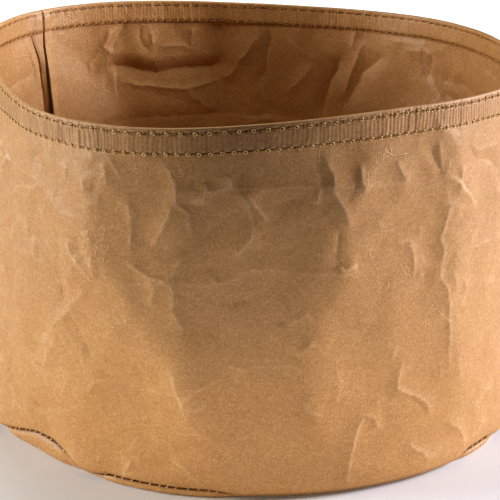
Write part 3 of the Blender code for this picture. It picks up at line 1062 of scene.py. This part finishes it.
def kraft_paper():
    """Creased washable kraft paper: fibres, mottling, pale worn creases, a satin face, and the painted shade
    and painted highlights that the mesh's values carry.
    """
    material, tree, shader, place = new_material("kraft_paper_creased", specular=0.5)
    speckle = noise(tree, place, 2700, 2, 0.7)
    grain = noise(tree, stretched(tree, place, (1, 1, 0.3)), 3300, 2, 0.65)
    fibre = noise(tree, stretched(tree, place, (0.3, 0.3, 1)), 1900, 3, 0.65)
    cloud = noise(tree, place, 45, 4, 0.6)
    blotch = noise(tree, place, 300, 3, 0.6)
    large = crinkles(tree, place, 62, 0.00026)
    small = crinkles(tree, place, 210, 0.00014)

    tone = weighted(tree, (speckle, 0.36), (grain, 0.30), (fibre, 0.18), (cloud, 0.10), (blotch, 0.06))
    # The wear value also carries the hem's painted highlights
    worn = weighted(tree, (attribute(tree, "wear"), 1.0), (large, 0.32), (small, 0.2))
    patchy = maths(tree, "ADD", maths(tree, "MULTIPLY", blotch, 1.5), -0.15)
    broken = maths(tree, "MULTIPLY", worn, patchy, clamp=True)
    shade = attribute(tree, "shade")
    colour = ramp(tree, tone, PAPER_TONES)
    colour = mixed(tree, maths(tree, "MULTIPLY", broken, 0.7, clamp=True), colour, WORN_PAPER)
    # Painted shade: the shade value darkens the paper towards SHADED_PAPER
    colour = mixed(tree, maths(tree, "MULTIPLY", shade, 0.8, clamp=True), colour, SHADED_PAPER)
    tree.links.new(colour, shader.inputs["Base Color"])
    rough = maths(tree, "ADD", weighted(tree, (cloud, 0.16), (speckle, 0.16)), 0.34)
    tree.links.new(rough, shader.inputs["Roughness"])
    height = weighted(
        tree, (grain, 0.5), (speckle, 0.45), (fibre, 0.3), (blotch, 1.2), (large, 2.4), (small, 1.3))
    add_bump(tree, shader, height, 0.65, 0.00006)
    return material


def sewing_thread():
    """Gold-brown twisted thread, its loops painted paler as a highlight."""
    material, tree, shader, place = new_material("gold_brown_thread", specular=0.15)
    strand = noise(tree, place, 900, 2, 0.5)
    slow = noise(tree, place, 40, 2, 0.5)
    colour = ramp(tree, weighted(tree, (strand, 0.6), (slow, 0.4)), THREAD_TONES)
    # Painted highlight: the loops are painted a paler gold than the dashes
    colour = mixed(tree, maths(tree, "MULTIPLY", attribute(tree, "loop_highlight"), 0.9), colour, LOOP_HIGHLIGHT_GOLD)
    tree.links.new(colour, shader.inputs["Base Color"])
    rough = maths(tree, "ADD", maths(tree, "MULTIPLY", strand, 0.2), 0.4)
    tree.links.new(rough, shader.inputs["Roughness"])
    add_bump(tree, shader, strand, 0.5, 0.00005)
    return material


# ---- Studio

BAG_MIDDLE = (0, 0, 0.06)
# Soft lights: (name, place, what it points at, size, power, colour, spread in degrees)
LIGHTS = (
    ("right", (0.97, 0.05, 0.40), BAG_MIDDLE, (0.4, 0.5), 11.5, (1.0, 1.0, 1.12), 180),
    ("left", (-0.98, -0.03, 0.32), BAG_MIDDLE, (0.4, 0.5), 8.0, (0.98, 0.99, 1.03), 180),
    ("low_front", (-0.01, -0.20, 0.024), (-0.01, 0, 0.012), (0.38, 0.03), 0.040, (1.0, 0.92, 0.76), 110),
    ("into_mouth", (-0.045, -0.01, 0.34), (-0.045, -0.01, 0), (0.08, 0.08), 0.075, (0.95, 1.0, 0.93), 90),
)
FLOOR_HALF = 0.55        # half the floor's side
FLOOR_DROP = 0.0002      # the floor is this far below the base, so that the two faces don't flicker


def soft_light(name, place, target, size, power, colour, spread):
    data = bpy.data.lights.new("light_" + name, "AREA")
    data.shape = "RECTANGLE"
    data.size, data.size_y = size
    data.energy = power
    data.color = colour
    data.spread = math.radians(spread)
    light = add_object("light_" + name, data)
    light.location = place
    light.rotation_euler = (Vector(target) - Vector(place)).to_track_quat("-Z", "Y").to_euler()


def pale_floor():
    mesh = bpy.data.meshes.new("floor")
    corners = [(x * FLOOR_HALF, y * FLOOR_HALF, 0) for x, y in ((-1, -1), (1, -1), (1, 1), (-1, 1))]
    mesh.from_pydata(corners, [], [(0, 1, 2, 3)])
    floor = add_object("studio_floor", mesh)
    floor.location.z = -FLOOR_DROP
    material, _, shader, _ = new_material("pale_floor", specular=0.1)
    shader.inputs["Base Color"].default_value = (0.92, 0.92, 0.92, 1)
    shader.inputs["Roughness"].default_value = 0.9
    mesh.materials.append(material)


def pale_room():
    """A world that gives little light, and looks nearly white behind the floor."""
    world = bpy.data.worlds.new("room")
    scene.world = world
    world.use_nodes = True
    tree = world.node_tree
    dim = tree.nodes["Background"]
    dim.inputs["Color"].default_value = (1.0, 0.98, 0.70, 1)
    dim.inputs["Strength"].default_value = 0.028
    pale = node(tree, "ShaderNodeBackground", Color=(1.0, 1.0, 1.0, 1.0), Strength=0.95)
    seen = tree.nodes.new("ShaderNodeLightPath").outputs["Is Camera Ray"]
    both = tree.nodes.new("ShaderNodeMixShader")
    tree.links.new(seen, both.inputs[0])
    tree.links.new(dim.outputs["Background"], both.inputs[1])
    tree.links.new(pale.outputs["Background"], both.inputs[2])
    tree.links.new(both.outputs["Shader"], tree.nodes["World Output"].inputs["Surface"])
    scene.view_settings.view_transform = "Standard"
    scene.view_settings.look = "High Contrast"


def camera():
    """Looks down at the front from a little left of centre, as the photograph does."""
    data = bpy.data.cameras.new("camera")
    data.lens = 110.3
    data.sensor_width = 36
    view = add_object("camera", data)
    yaw = math.radians(1.45)
    pitch = math.radians(18.78)
    view.location = (-0.0129, -0.5375, 0.2328)
    view.rotation_euler = (math.pi / 2 - pitch, 0, -yaw)
    bpy.context.scene.camera = view


def main():
    crumple()
    lay_foot()
    paper = kraft_paper()
    thread = sewing_thread()
    wall_body(paper)
    rim_hem(paper)
    seam_allowance("side_seam_left_end", 1, paper)
    seam_allowance("side_seam_right_end", -1, paper)
    base_sheet(paper)
    for row, depth, pitch, phase in RIM_ROWS:
        outside = rim_row(depth, pitch, phase, 0.0)
        inside = rim_row(depth, pitch, phase, 2 * PAPER)
        loops = rim_loops(depth, pitch, phase)
        stitches(f"rim_{row}_needle_stitches", outside, loops, thread, f"rim_{row}_needle_thread")
        stitches(f"rim_{row}_bobbin_stitches", inside, (), thread, f"rim_{row}_bobbin_thread")
    stitches("side_seam_needle_stitches", seam_row(-1), (), thread, "side_seam_needle_thread")
    stitches("side_seam_bobbin_stitches", seam_row(1), (), thread, "side_seam_bobbin_thread")
    stitches("base_seam_needle_stitches", base_row(True), (), thread, "base_seam_needle_thread")
    stitches("base_seam_bobbin_stitches", base_row(False), seam_ladder(), thread, "base_seam_bobbin_thread")
    for light in LIGHTS:
        soft_light(*light)
    pale_floor()
    pale_room()
    camera()


main()
